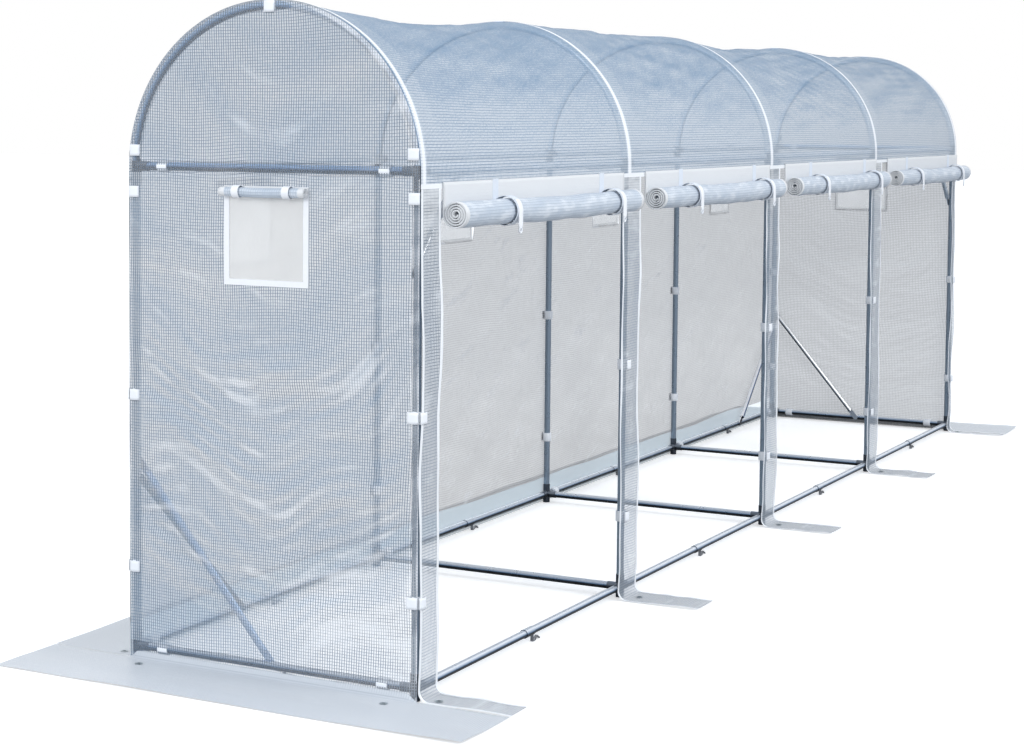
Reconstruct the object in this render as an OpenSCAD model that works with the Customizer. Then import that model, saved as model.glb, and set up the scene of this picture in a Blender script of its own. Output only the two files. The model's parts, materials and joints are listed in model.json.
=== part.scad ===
// Polytunnel greenhouse: a hooped steel tube frame under a scrim film cover, with one long
// side that opens by curtains rolled up under the eaves.
// The origin is on the ground under the middle of the tunnel, X runs along it and Z is up.
// The near gable is at -X and the side with the curtains at -Y.

/* [Tunnel] */
// Distance between neighbouring hoops, centre to centre
bay_len = 1490; // [1200:10:1800]
// Width of a hoop between the centre lines of its posts
frame_w = 975; // [800:5:1300]
// Height at which the arches spring from the posts
spring_z = 1500; // [1400:10:1800]

/* [Tubes] */
// Outside diameter of the frame tubes
tube_d = 25; // [20:1:32]
// Wall of the tube fittings outside the tubes
fitting_wall = 2; // [1:0.5:4]
// Length of each arm of a tube fitting
sleeve_len = 45; // [35:1:70]
// Height of the fitting that forms a post's foot
foot_h = 80; // [70:1:120]
// Height of the axis of the ground rails and cross bars
rail_z = 36; // [30:1:60]
// Height of the axis of the eaves purlins and gable bars above the springing of the arches
bar_up = 12; // [0:1:20]
// Length of the joint in the middle of a ground rail
joint_len = 60; // [40:1:120]

/* [Braces] */
// Outside diameter of the brace tubes
brace_d = 22; // [16:1:25]
// Thickness of the flattened end of a brace
tab_t = 4; // [3:0.5:6]
// Width of the flattened end of a brace
tab_w = 24; // [20:1:28]
// Length of the flattened end of a brace, from its bolt
tab_len = 45; // [40:1:70]
// Height at which the gable braces meet the back corner posts
brace_z = 606; // [450:1:900]
// Drop from a gable brace's bolt to that of the back wall brace on the same post
brace_step = 50; // [48:1:90]
// Distance along the back rail from the end post to a brace's foot
brace_run = 565; // [350:5:650]
// Distance of a gable brace's foot from the middle of the gable
brace_foot_y = 5; // [0:1:90]
// Distance along the eaves from the end post to a knee brace
knee_run = 280; // [200:5:400]
// Drop of a knee brace below the eaves purlin
knee_drop = 290; // [200:5:400]

/* [Ground hooks] */
// Width of the hook's strip
hook_w = 10; // [6:1:14]
// Thickness of the hook's strip
hook_t = 4; // [3:0.5:6]
// Length of the hook's foot
hook_foot = 52; // [40:1:70]
// Rise of the bend near the tip of the foot
hook_rise = 10; // [4:1:14]
// Distance of a gable hook from the middle of the gable
gable_hook_y = 45; // [35:1:90]

/* [Film cover] */
// Thickness of the film
film_t = 2; // [1:0.5:3]
// Sag of the roof film at the ridge, midway between two hoops
roof_sag = 26; // [0:1:60]
// Drop of the roof film's hem below the springing of the arches
hem_drop = 38; // [20:1:80]
// Width of the film that lies on the ground round the tunnel
skirt_w = 290; // [150:10:450]
// Reach of a middle front strip before its post
strip_before = 59; // [30:1:90]
// Reach of a front strip past its post
strip_after = 104; // [60:1:200]

/* [Curtains] */
// Radius of a rolled-up curtain
roll_r = 42; // [30:1:55]
// Height of the axis of a rolled-up curtain below the springing of the arches
roll_drop = 112; // [100:1:180]
// Distance from the first post to the near end of the first curtain
curtain_start = 110; // [106:1:200]
// Difference between the length of a bay and that of its curtain
curtain_short = 173; // [100:1:250]
// Growth of the distance from post to curtain from each bay to the next
curtain_creep = 24; // [0:1:30]
// Turns of film in a rolled-up curtain
roll_turns = 3.5; // [2:0.5:4]
// Radius of the hollow core of a rolled-up curtain
roll_core = 8; // [5:1:12]
// Height of the curtain's top seam above the roof hem
seam_lap = 18; // [10:1:30]
// Width of a strap round a rolled-up curtain
strap_w = 38; // [15:1:60]
// Thickness of a strap
strap_t = 1.5; // [1:0.5:2]
// Distance from the near end of a curtain to its first strap
strap_start = 330; // [100:1:500]
// Distance from the far end of a curtain to its second strap
strap_end = 192; // [60:1:400]

/* [Windows] */
// Width of a window's opening
window_w = 275; // [200:5:400]
// Height of a window's opening
window_h = 275; // [200:5:400]
// Height of the lower edge of a window's opening
window_z = 1176; // [900:1:1180]
// Shift of the gable windows from the middle of the gable towards the back wall
window_shift = 9; // [0:1:60]
// Distance from a hoop to the middle of a back window
back_window_x = 650; // [450:5:800]
// Width of the hem round a window
hem_w = 18; // [10:1:25]
// Thickness of the hem round a window
hem_t = 1.5; // [1:0.5:3]
// Thickness of the mesh screen
screen_t = 1; // [0.6:0.2:1.6]
// Radius of a window's rolled-up flap
flap_r = 16; // [14:1:30]
// Reach of a rolled-up flap past the hem at each end
flap_over = 0; // [0:1:20]
// Width of a strap round a rolled-up flap
flap_strap_w = 24; // [12:1:30]
// Distance of a flap's straps from the middle of the flap
flap_strap_x = 87; // [60:1:130]

/* [Eyelets] */
// Radius of the hole in an eyelet
eyelet_r = 6; // [4:0.5:9]
// Thickness of an eyelet's barrel
eyelet_wall = 3; // [2:0.5:4]
// Width of an eyelet's flange beyond the barrel
eyelet_flange = 3; // [2:0.5:5]
// Distance of an eyelet beside a long wall from the foot of the wall
eyelet_out = 48; // [30:1:70]
// Distance of an eyelet along a long wall from a post's centre line
eyelet_side = 20; // [15:1:40]
// Distance of an eyelet in front of a gable from the foot of the gable
gable_eyelet_out = 60; // [30:1:90]
// Distance of an eyelet along a gable from a post's centre line
gable_eyelet_in = 60; // [0:1:120]

/* [Hidden] */
$fn = 48;
bays = 4;
seat_gap = 0.3;
// Room for the flat facets of the roof film over the fittings
film_gap = 1.5;
roof_steps_x = 8;
arch_steps = 36;
turn_steps = 24;

half_w = frame_w / 2;
half_l = bays * bay_len / 2;
fitting_d = tube_d + 2 * fitting_wall;
// Height of an eaves fitting above the springing of the arches
bar_z = spring_z + bar_up;
sleeve_up = bar_up + fitting_d / 2 + film_gap;
cover_y = half_w + fitting_d / 2 + film_gap;
cover_x = half_l + fitting_d / 2 + film_gap;
hem_z = spring_z - hem_drop;
brace_in = tube_d / 2 + seat_gap + tab_t / 2;
wall_y = cover_y + film_t;
wall_x = cover_x + film_t;
curtain_y = wall_y + 2 * seat_gap + strap_t;
roll_y = curtain_y + film_t / 2 + roll_r;
roll_z = spring_z - roll_drop;
curtain_len = bay_len - curtain_short;
flap_z = window_z + window_h + hem_w / 2 - flap_r;

// Position of hoop i along the tunnel, from 0 at the near gable
function hoop_x(i) = (i - bays / 2) * bay_len;

// Steel frame

module tube_x(x0, x1, y, z, d) {
    translate([x0, y, z]) rotate([0, 90, 0]) cylinder(h = x1 - x0, d = d);
}

module tube_y(y0, y1, x, z, d) {
    translate([x, y0, z]) rotate([-90, 0, 0]) cylinder(h = y1 - y0, d = d);
}

module tube_z(z0, z1, x, y, d) {
    translate([x, y, z0]) cylinder(h = z1 - z0, d = d);
}

module posts(side) {
    color("lightsteelblue")
        for (i = [0 : bays])
            tube_z(foot_h, spring_z - sleeve_len, hoop_x(i), side * half_w, tube_d);
}

module front_posts() { posts(-1); }

module back_posts() { posts(1); }

// Half round arch, cut level where its ends stand on the eaves fittings
module arch(i) {
    reach = half_w + tube_d;
    color("lightsteelblue")
        translate([hoop_x(i), 0, spring_z])
            intersection() {
                rotate([90, 0, 90])
                    rotate_extrude(angle = 180, $fn = 180)
                        translate([half_w, 0]) circle(d = tube_d);
                translate([-tube_d, -reach, sleeve_up]) cube([2 * tube_d, 2 * reach, reach]);
            }
}

module near_gable_arch() { arch(0); }

module second_arch() { arch(1); }

module middle_arch() { arch(2); }

module fourth_arch() { arch(3); }

module far_gable_arch() { arch(4); }

// Each ground rail has two tubes in a bay, with a joint between them
module ground_rail(side) {
    color("lightsteelblue")
        for (i = [0 : bays - 1]) {
            middle = hoop_x(i) + bay_len / 2;
            tube_x(hoop_x(i) + sleeve_len, middle - joint_len / 2, side * half_w, rail_z, tube_d);
            tube_x(middle + joint_len / 2, hoop_x(i + 1) - sleeve_len, side * half_w, rail_z, tube_d);
        }
}

module front_ground_rail() { ground_rail(-1); }

module back_ground_rail() { ground_rail(1); }

module ground_cross_bars() {
    color("lightsteelblue")
        for (i = [0 : bays])
            tube_y(sleeve_len - half_w, half_w - sleeve_len, hoop_x(i), rail_z, tube_d);
}

module rail_joints() {
    color("silver")
        for (i = [0 : bays - 1], side = [-1, 1]) {
            middle = hoop_x(i) + bay_len / 2;
            tube_x(middle - joint_len / 2, middle + joint_len / 2, side * half_w, rail_z, fitting_d);
        }
}

// Bent strip that hangs from a tube, with its foot along +X and a bend near the tip
module ground_hook() {
    stem_top = rail_z - tube_d / 2 - seat_gap;
    rise_start = hook_foot / 3;
    rise_end = hook_foot * 2 / 3;
    rotate([90, 0, 0])
        linear_extrude(hook_w, center = true)
            polygon([
                [0, 0], [rise_start, 0], [rise_end, hook_rise], [hook_foot, 0],
                [hook_foot, hook_t], [rise_end, hook_rise + hook_t], [rise_start, hook_t],
                [hook_t, hook_t], [hook_t, stem_top], [0, stem_top]
            ]);
}

module ground_hooks() {
    color("gray") {
        for (i = [0 : bays - 1], side = [-1, 1])
            translate([hoop_x(i) + bay_len / 2 + joint_len / 2 + seat_gap, side * half_w, 0]) ground_hook();
        for (end = [-1, 1])
            translate([end * half_l, -gable_hook_y, 0]) rotate([0, 0, -90]) ground_hook();
    }
}

module eaves_purlin(side) {
    color("lightsteelblue")
        for (i = [0 : bays - 1])
            tube_x(hoop_x(i) + sleeve_len, hoop_x(i + 1) - sleeve_len, side * half_w, bar_z, tube_d);
}

module front_eaves_purlin() { eaves_purlin(-1); }

module back_eaves_purlin() { eaves_purlin(1); }

module gable_bar(i) {
    color("lightsteelblue")
        tube_y(sleeve_len - half_w, half_w - sleeve_len, hoop_x(i), bar_z, tube_d);
}

module near_gable_bar() { gable_bar(0); }

module far_gable_bar() { gable_bar(bays); }

// Tube along +X between two bolts, with flattened ends that lie in the XZ plane
module brace(len) {
    translate([tab_len, 0, 0]) rotate([0, 90, 0]) cylinder(h = len - 2 * tab_len, d = brace_d);
    for (end = [0, 1])
        translate([end * len, 0, 0])
            mirror([end, 0, 0])
                rotate([90, 0, 0])
                    linear_extrude(tab_t, center = true) {
                        circle(d = tab_w);
                        translate([0, -tab_w / 2]) square([tab_len + tab_w / 2, tab_w]);
                    }
}

// Brace from the back post of a gable down to the middle of its cross bar
module gable_brace(end) {
    run = half_w - brace_foot_y;
    rise = brace_z - rail_z;
    color("lightsteelblue")
        translate([end * (half_l - brace_in), brace_foot_y, rail_z])
            rotate([0, 0, 90])
                rotate([0, -atan2(rise, run), 0])
                    brace(norm([run, rise]));
}

module near_gable_brace() { gable_brace(-1); }

module far_gable_brace() { gable_brace(1); }

// Braces from the end posts down to the back rail
module back_wall_braces() {
    rise = brace_z - brace_step - rail_z;
    color("lightsteelblue")
        for (end = [-1, 1])
            mirror([end < 0 ? 1 : 0, 0, 0])
                translate([half_l - brace_run, half_w - brace_in, rail_z])
                    rotate([0, -atan2(rise, brace_run), 0])
                        brace(norm([brace_run, rise]));
}

// Short braces between the front eaves purlin and the end posts
module knee_braces() {
    color("lightsteelblue")
        for (end = [-1, 1])
            mirror([end < 0 ? 1 : 0, 0, 0])
                translate([half_l - knee_run, brace_in - half_w, bar_z])
                    rotate([0, atan2(knee_drop, knee_run), 0])
                        brace(norm([knee_run, knee_drop]));
}

// Arms of a fitting at hoop i along the tunnel, and into it at a gable
module fitting_arms(i, side, z) {
    x = hoop_x(i);
    if (i > 0) tube_x(x - sleeve_len, x, side * half_w, z, fitting_d);
    if (i < bays) tube_x(x, x + sleeve_len, side * half_w, z, fitting_d);
}

module inward_arm(i, side, z) {
    mirror([0, side < 0 ? 1 : 0, 0])
        tube_y(half_w - sleeve_len, half_w, hoop_x(i), z, fitting_d);
}

module foot_fittings() {
    color("silver")
        for (i = [0 : bays], side = [-1, 1]) {
            tube_z(0, foot_h, hoop_x(i), side * half_w, fitting_d);
            fitting_arms(i, side, rail_z);
            inward_arm(i, side, rail_z);
        }
}

module eaves_fittings() {
    color("dimgray")
        for (i = [0 : bays], side = [-1, 1]) {
            tube_z(spring_z - sleeve_len, spring_z + sleeve_up, hoop_x(i), side * half_w, fitting_d);
            fitting_arms(i, side, bar_z);
            if (i == 0 || i == bays) inward_arm(i, side, bar_z);
        }
}

// Film cover

// Point on the roof film: at x along the tunnel, step j across the arch and radius r over a hoop
function roof_drop(x, i, a) =
    let (t = max(0, min(1, (x - hoop_x(i)) / bay_len)))
    4 * roof_sag * t * (1 - t) * sin(a);
function arch_point(x, i, j, r) =
    let (a = 180 * j / arch_steps)
    let (reach = r - roof_drop(x, i, a))
    [x, -reach * cos(a), spring_z + reach * sin(a)];
function roof_row(x, i, r) = concat(
    [[x, -r, hem_z]],
    [for (j = [0 : arch_steps]) arch_point(x, i, j, r)],
    [[x, r, hem_z]]
);

// Two triangles on each cell of a grid of points n wide and m long that starts at point k
function grid_faces(k, n, m, turn) = [
    for (u = [0 : m - 2], v = [0 : n - 2])
        let (a = k + u * n + v, b = a + 1, c = a + n, d = c + 1)
        each (turn ? [[a, b, c], [b, d, c]] : [[a, c, b], [b, c, d]])
];

// Triangles that close a shell along a row of outer points, with the inner points count further on
function edge_faces(row, count) = [
    for (k = [0 : len(row) - 2])
        let (a = row[k], b = row[k + 1])
        each [[a, a + count, b], [b, a + count, b + count]]
];
function reversed(list) = [for (k = [len(list) - 1 : -1 : 0]) list[k]];

// Film over bay i, pulled in between the hoops and carried past the hoop at a gable
module roof_cover(i) {
    inner_xs = [for (k = [0 : roof_steps_x]) hoop_x(i) + k * bay_len / roof_steps_x];
    xs = concat(i == 0 ? [-wall_x] : [], inner_xs, i == bays - 1 ? [wall_x] : []);
    m = len(xs);
    n = arch_steps + 3;
    count = m * n;
    outer_points = [for (x = xs) each roof_row(x, i, wall_y)];
    inner_points = [for (x = xs) each roof_row(x, i, cover_y)];
    first_row = [for (v = [0 : n - 1]) v];
    last_row = [for (v = [0 : n - 1]) (m - 1) * n + v];
    front_hem = [for (u = [0 : m - 1]) u * n];
    back_hem = [for (u = [0 : m - 1]) u * n + n - 1];
    faces = concat(
        grid_faces(0, n, m, true),
        grid_faces(count, n, m, false),
        edge_faces(first_row, count),
        edge_faces(reversed(last_row), count),
        edge_faces(reversed(front_hem), count),
        edge_faces(back_hem, count)
    );
    color("lightblue", 0.5)
        polyhedron(points = concat(outer_points, inner_points), faces = faces, convexity = 4);
}

module roof_cover_1() { roof_cover(0); }

module roof_cover_2() { roof_cover(1); }

module roof_cover_3() { roof_cover(2); }

module roof_cover_4() { roof_cover(3); }

// Gable sheet with an arched top and a window, standing inside the edge of the roof film
module gable_cover(end) {
    edge = cover_y - film_gap;
    color("lightblue", 0.5)
        translate([end > 0 ? cover_x : -wall_x, 0, 0])
            rotate([90, 0, 90])
                linear_extrude(film_t)
                    difference() {
                        union() {
                            translate([-edge, film_t]) square([2 * edge, spring_z - film_t]);
                            translate([0, spring_z]) circle(r = edge, $fn = 180);
                        }
                        translate([window_shift - window_w / 2, window_z]) square([window_w, window_h]);
                    }
}

module near_gable_cover() { gable_cover(-1); }

module far_gable_cover() { gable_cover(1); }

module back_wall_cover() {
    color("lightblue", 0.5)
        translate([0, wall_y, 0])
            rotate([90, 0, 0])
                linear_extrude(film_t)
                    difference() {
                        translate([-wall_x, film_t]) square([2 * wall_x, hem_z - seat_gap - film_t]);
                        for (i = [0 : bays - 1])
                            translate([hoop_x(i) + back_window_x - window_w / 2, window_z])
                                square([window_w, window_h]);
                    }
}

// Left and right edge of the front strip at hoop i
function strip_left(i) = i == 0 ? -wall_x : hoop_x(i) - strip_before;
function strip_right(i) = i == bays ? wall_x : hoop_x(i) + strip_after;

module front_strips() {
    color("lightblue", 0.5)
        for (i = [0 : bays])
            translate([strip_left(i), -wall_y, film_t])
                cube([strip_right(i) - strip_left(i), film_t, hem_z - seat_gap - film_t]);
}

// Sheet on the ground with holes for the eyelets at the given places
module ground_sheet(x0, y0, x1, y1, places) {
    difference() {
        translate([x0, y0, 0]) cube([x1 - x0, y1 - y0, film_t]);
        for (p = places)
            translate([p[0], p[1], -film_t]) cylinder(r = eyelet_r + eyelet_wall + seat_gap, h = 3 * film_t);
    }
}

// Eyelets stand beside the posts: one step to the open side of each, and inside the last one
function wall_eyelet_x(i) = hoop_x(i) + (i == bays ? -1 : 1) * eyelet_side;
function wall_eyelets(side) = [for (i = [0 : bays]) [wall_eyelet_x(i), side * (wall_y + eyelet_out)]];
function gable_eyelets(end) = [
    for (side = [-1, 1]) [end * (wall_x + gable_eyelet_out), side * (half_w - gable_eyelet_in)]
];

module strip_ground_flaps() {
    eyelets = wall_eyelets(-1);
    color("aliceblue")
        for (i = [0 : bays])
            ground_sheet(
                max(strip_left(i), seat_gap - cover_x), -wall_y - skirt_w,
                min(strip_right(i), cover_x - seat_gap), -cover_y, [eyelets[i]]
            );
}

module near_gable_skirt() {
    reach = wall_y + skirt_w;
    color("aliceblue") ground_sheet(-wall_x - skirt_w, -reach, -cover_x, reach, gable_eyelets(-1));
}

module far_gable_skirt() {
    reach = wall_y + skirt_w;
    color("aliceblue") ground_sheet(cover_x, -reach, wall_x + skirt_w, reach, gable_eyelets(1));
}

module back_skirt() {
    reach = cover_x - seat_gap;
    color("aliceblue") ground_sheet(-reach, cover_y, reach, wall_y + skirt_w, wall_eyelets(1));
}

module eyelets() {
    places = concat(wall_eyelets(-1), wall_eyelets(1), gable_eyelets(-1), gable_eyelets(1));
    barrel_r = eyelet_r + eyelet_wall;
    color("silver")
        for (p = places)
            translate([p[0], p[1], 0])
                difference() {
                    union() {
                        cylinder(r = barrel_r, h = film_t + seat_gap + film_t / 2);
                        translate([0, 0, film_t + seat_gap])
                            cylinder(r = barrel_r + eyelet_flange, h = film_t / 2);
                    }
                    translate([0, 0, -film_t]) cylinder(r = eyelet_r, h = 4 * film_t);
                }
}

// Curtains and windows

// Points of a rolled sheet: it comes down to the roll's rim at +X and winds inward from there
function roll_point(a, r, turns, shift) =
    let (reach = r - (r - roll_core) * a / (360 * turns) + shift)
    [reach * cos(a), -reach * sin(a)];
function roll_edge(r, turns, shift) = [
    for (k = [0 : turns * turn_steps]) roll_point(360 * k / turn_steps, r, turns, shift)
];

// Sheet that hangs from a height above the roll's axis and is wound up below
module rolled_sheet(r, turns, height) {
    half_t = film_t / 2;
    polygon(concat(
        [[r + half_t, height]],
        roll_edge(r, turns, half_t),
        reversed(roll_edge(r, turns, -half_t)),
        [[r - half_t, height]]
    ));
}

// Near end of the curtain in bay i
function curtain_x(i) = hoop_x(i) + curtain_start + i * curtain_creep;

module curtain(i) {
    color("lightcyan")
        translate([curtain_x(i), -roll_y, roll_z])
            rotate([90, 0, 90])
                linear_extrude(curtain_len)
                    rolled_sheet(roll_r, roll_turns, hem_z + seam_lap - roll_z);
}

module curtain_1() { curtain(0); }

module curtain_2() { curtain(1); }

module curtain_3() { curtain(2); }

module curtain_4() { curtain(3); }

// Outline of a roll and the sheet above it, grown by a margin on all sides
module roll_outline(r, height, margin) {
    circle(r = r + film_t / 2 + margin, $fn = 96);
    translate([r - film_t / 2 - margin, 0]) square([film_t + 2 * margin, height + margin]);
}

module roll_strap(r, height) {
    difference() {
        roll_outline(r, height, seat_gap + strap_t);
        roll_outline(r, height, seat_gap);
    }
}

module curtain_straps() {
    color("white")
        for (i = [0 : bays - 1], x = [strap_start, curtain_len - strap_end])
            translate([curtain_x(i) + x - strap_w / 2, -roll_y, roll_z])
                rotate([90, 0, 90])
                    linear_extrude(strap_w)
                        roll_strap(roll_r, hem_z + seam_lap - roll_z);
}

// Places its children at each window, with X along the wall and -Y out of it
module at_windows() {
    for (end = [-1, 1])
        translate([end * wall_x, window_shift, 0]) rotate([0, 0, 90 * end]) children();
    for (i = [0 : bays - 1])
        translate([hoop_x(i) + back_window_x, wall_y, 0]) rotate([0, 0, 180]) children();
}

module window_hems() {
    color("white")
        at_windows()
            translate([0, -seat_gap, 0])
                rotate([90, 0, 0])
                    linear_extrude(hem_t)
                        difference() {
                            translate([-window_w / 2 - hem_w / 2, window_z - hem_w / 2])
                                square([window_w + hem_w, window_h + hem_w]);
                            translate([-window_w / 2 + hem_w / 2, window_z + hem_w / 2])
                                square([window_w - hem_w, window_h - hem_w]);
                        }
}

module window_screens() {
    color("gainsboro")
        at_windows()
            translate([-window_w / 2 + seat_gap, 0, window_z + seat_gap])
                cube([window_w - 2 * seat_gap, screen_t, window_h - 2 * seat_gap]);
}

// The flap hangs from the upper edge of the hem, in front of it
flap_turns = 2;
flap_y = hem_t + strap_t + 3 * seat_gap + film_t / 2 + flap_r;
flap_len = window_w + hem_w + 2 * flap_over;

module window_flap_rolls() {
    color("lightcyan")
        at_windows()
            translate([-flap_len / 2, -flap_y, flap_z])
                rotate([90, 0, 90])
                    linear_extrude(flap_len)
                        rolled_sheet(flap_r, flap_turns, flap_r);
}

module window_flap_straps() {
    color("white")
        at_windows()
            for (side = [-1, 1])
                translate([side * flap_strap_x - flap_strap_w / 2, -flap_y, flap_z])
                    rotate([90, 0, 90])
                        linear_extrude(flap_strap_w)
                            roll_strap(flap_r, flap_r);
}

front_posts();
back_posts();
near_gable_arch();
second_arch();
middle_arch();
fourth_arch();
far_gable_arch();
front_ground_rail();
back_ground_rail();
ground_cross_bars();
rail_joints();
ground_hooks();
front_eaves_purlin();
back_eaves_purlin();
near_gable_bar();
far_gable_bar();
near_gable_brace();
far_gable_brace();
back_wall_braces();
knee_braces();
foot_fittings();
eaves_fittings();
roof_cover_1();
roof_cover_2();
roof_cover_3();
roof_cover_4();
near_gable_cover();
far_gable_cover();
back_wall_cover();
front_strips();
strip_ground_flaps();
near_gable_skirt();
far_gable_skirt();
back_skirt();
curtain_1();
curtain_2();
curtain_3();
curtain_4();
curtain_straps();
window_hems();
window_screens();
window_flap_rolls();
window_flap_straps();
eyelets();
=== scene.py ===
# %% [markdown]
# # Polytunnel greenhouse
# A long, narrow tunnel of steel hoops under a clear film with a woven grid in it. One long side
# opens by four curtains that are rolled up under the eaves.
# The steel comes from the CAD model and only gets its finish here. The film is what this script
# makes: every sheet is a numpy surface, so that it can sag, fold and roll as film does.

# %% Load the frame
import json
import math

import bpy
import numpy as np
from mathutils import Matrix, Vector


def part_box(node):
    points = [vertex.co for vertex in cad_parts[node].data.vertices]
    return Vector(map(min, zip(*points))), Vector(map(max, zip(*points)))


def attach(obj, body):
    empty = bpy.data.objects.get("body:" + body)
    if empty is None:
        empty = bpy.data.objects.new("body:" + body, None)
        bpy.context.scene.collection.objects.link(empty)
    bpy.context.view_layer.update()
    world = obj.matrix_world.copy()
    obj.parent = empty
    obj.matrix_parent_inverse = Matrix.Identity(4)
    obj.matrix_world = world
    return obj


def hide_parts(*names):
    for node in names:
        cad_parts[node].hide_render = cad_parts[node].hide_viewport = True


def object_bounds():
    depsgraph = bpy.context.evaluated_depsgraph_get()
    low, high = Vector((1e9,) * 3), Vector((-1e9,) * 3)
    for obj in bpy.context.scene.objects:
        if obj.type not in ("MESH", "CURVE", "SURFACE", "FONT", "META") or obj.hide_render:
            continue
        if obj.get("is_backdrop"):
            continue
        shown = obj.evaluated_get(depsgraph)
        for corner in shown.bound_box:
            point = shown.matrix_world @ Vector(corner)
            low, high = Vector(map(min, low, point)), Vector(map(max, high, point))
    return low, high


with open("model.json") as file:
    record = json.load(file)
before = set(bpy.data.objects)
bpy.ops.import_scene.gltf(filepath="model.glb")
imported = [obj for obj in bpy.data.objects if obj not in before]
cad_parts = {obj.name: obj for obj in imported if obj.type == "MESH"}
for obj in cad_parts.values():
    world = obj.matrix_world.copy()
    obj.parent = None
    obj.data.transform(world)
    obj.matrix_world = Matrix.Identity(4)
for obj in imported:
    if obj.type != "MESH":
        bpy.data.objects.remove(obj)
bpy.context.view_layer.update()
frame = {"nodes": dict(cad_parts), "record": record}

nodes = frame["nodes"]

# %% [markdown]
# ## Sizes
# A new piece has to sit where the CAD says, so its sizes are read from the boxes of the nodes.
# Typing them in again would work until the first change in the CAD file. Only a few that no box
# gives are typed in: the film's thickness, how far the straps are from the ends of a roll, how far
# a front strip reaches before and after its hoop, and the small gaps at the edges and the hem.

# %% Sizes from the frame
BAYS = 4
FILM = 0.002
STRAP_START, STRAP_END = 0.330, 0.192
STRIP_BEFORE, STRIP_AFTER = 0.059, 0.104
EDGE_GAP = 0.0015
HEM_GAP = 0.0003

post_low, post_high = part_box("front_posts")
roof_low, roof_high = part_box("roof_cover_2")
tube_r = (post_high.y - post_low.y) / 2
half_w = -(post_high.y + post_low.y) / 2
half_l = post_high.x - tube_r
bay = 2 * half_l / BAYS
hoops = bay * (np.arange(BAYS + 1) - BAYS / 2)
film_y = roof_high.y - FILM / 2
film_x = -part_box("near_gable_cover")[0].x - FILM / 2
hem_z = roof_low.z
spring_z = roof_high.z - roof_high.y
skirt_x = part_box("far_gable_skirt")[1].x
skirt_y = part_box("back_skirt")[1].y
print("hoops", hoops.round(3), "film at", round(film_x, 4), round(film_y, 4), "hem", round(hem_z, 3))

# %% [markdown]
# ## Tools for surfaces
# A sheet is a grid of points with a cloth coordinate in metres at each point, so that the woven
# grid keeps its scale and follows the sheet. Three more numbers go with each point: how the
# slope there catches the light, how far it is from a hemmed edge, and where it lies across the
# folds, so that fine wrinkles can run along them. Holes are cells of the grid that are left out.

# %% Surface tools
def smooth(t):
    """Smooth step: 0 below 0, 1 above 1, and three t squared less two t cubed between."""
    t = np.clip(t, 0, 1)
    return t * t * (3 - 2 * t)


def ripples(a, b, length, seed, count=9):
    """Uneven ripples over two coordinates: the sum of count sine waves of seeded directions,
    lengths near the given one and phases, divided by the root of count."""
    rng = np.random.default_rng(seed)
    turn = rng.uniform(0, np.pi, count)
    step = length * rng.uniform(0.6, 1.7, count)
    phase = rng.uniform(0, 2 * np.pi, count)
    along = np.asarray(a)[..., None] * np.cos(turn) + np.asarray(b)[..., None] * np.sin(turn)
    return np.sin(2 * np.pi * along / step + phase).sum(-1) / math.sqrt(count)


def with_lines(values, extra):
    """The values with extra ones put in order among them, for grid lines along a hole."""
    return np.unique(np.round(np.concatenate([values, np.asarray(extra, float)]), 6))


def outside(a, b, holes):
    """Which cells of the grid with lines a and b have their middle outside every hole, each
    given as (lowest a, lowest b, highest a, highest b)."""
    mid_a = (a[:-1, :-1] + a[1:, 1:]) / 2
    mid_b = (b[:-1, :-1] + b[1:, 1:]) / 2
    keep = np.ones(mid_a.shape, bool)
    for low_a, low_b, high_a, high_b in holes:
        keep &= ~((mid_a > low_a) & (mid_a < high_a) & (mid_b > low_b) & (mid_b < high_b))
    return keep


# %% From grids of points to an object
def patch(x, y, z, cloth=None, lit=0.5, edge=1.0, fold=None, keep=None, flip=False):
    """One grid of points, with its cloth coordinates, light, edge distance, fold coordinate and
    kept cells. The folds run along the cloth's first coordinate if none is given."""
    x, y, z, lit, edge = np.broadcast_arrays(x, y, z, lit, edge)
    u, v = np.broadcast_arrays(*(cloth if cloth is not None else (x, z)), x)[:2]
    return {
        "points": np.stack([x, y, z], -1), "cloth": np.stack([u, v], -1), "lit": lit, "edge": edge,
        "fold": v if fold is None else fold, "keep": keep, "flip": flip,
    }


def cells(shape, keep, flip):
    """Corner numbers of the cells of a grid: each cell takes a point, its neighbours along both
    ways and the one across, in turn."""
    index = np.arange(shape[0] * shape[1]).reshape(shape)
    quads = np.stack([index[:-1, :-1], index[1:, :-1], index[1:, 1:], index[:-1, 1:]], -1)
    quads = quads[keep] if keep is not None else quads.reshape(-1, 4)
    return quads[:, ::-1] if flip else quads


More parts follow.
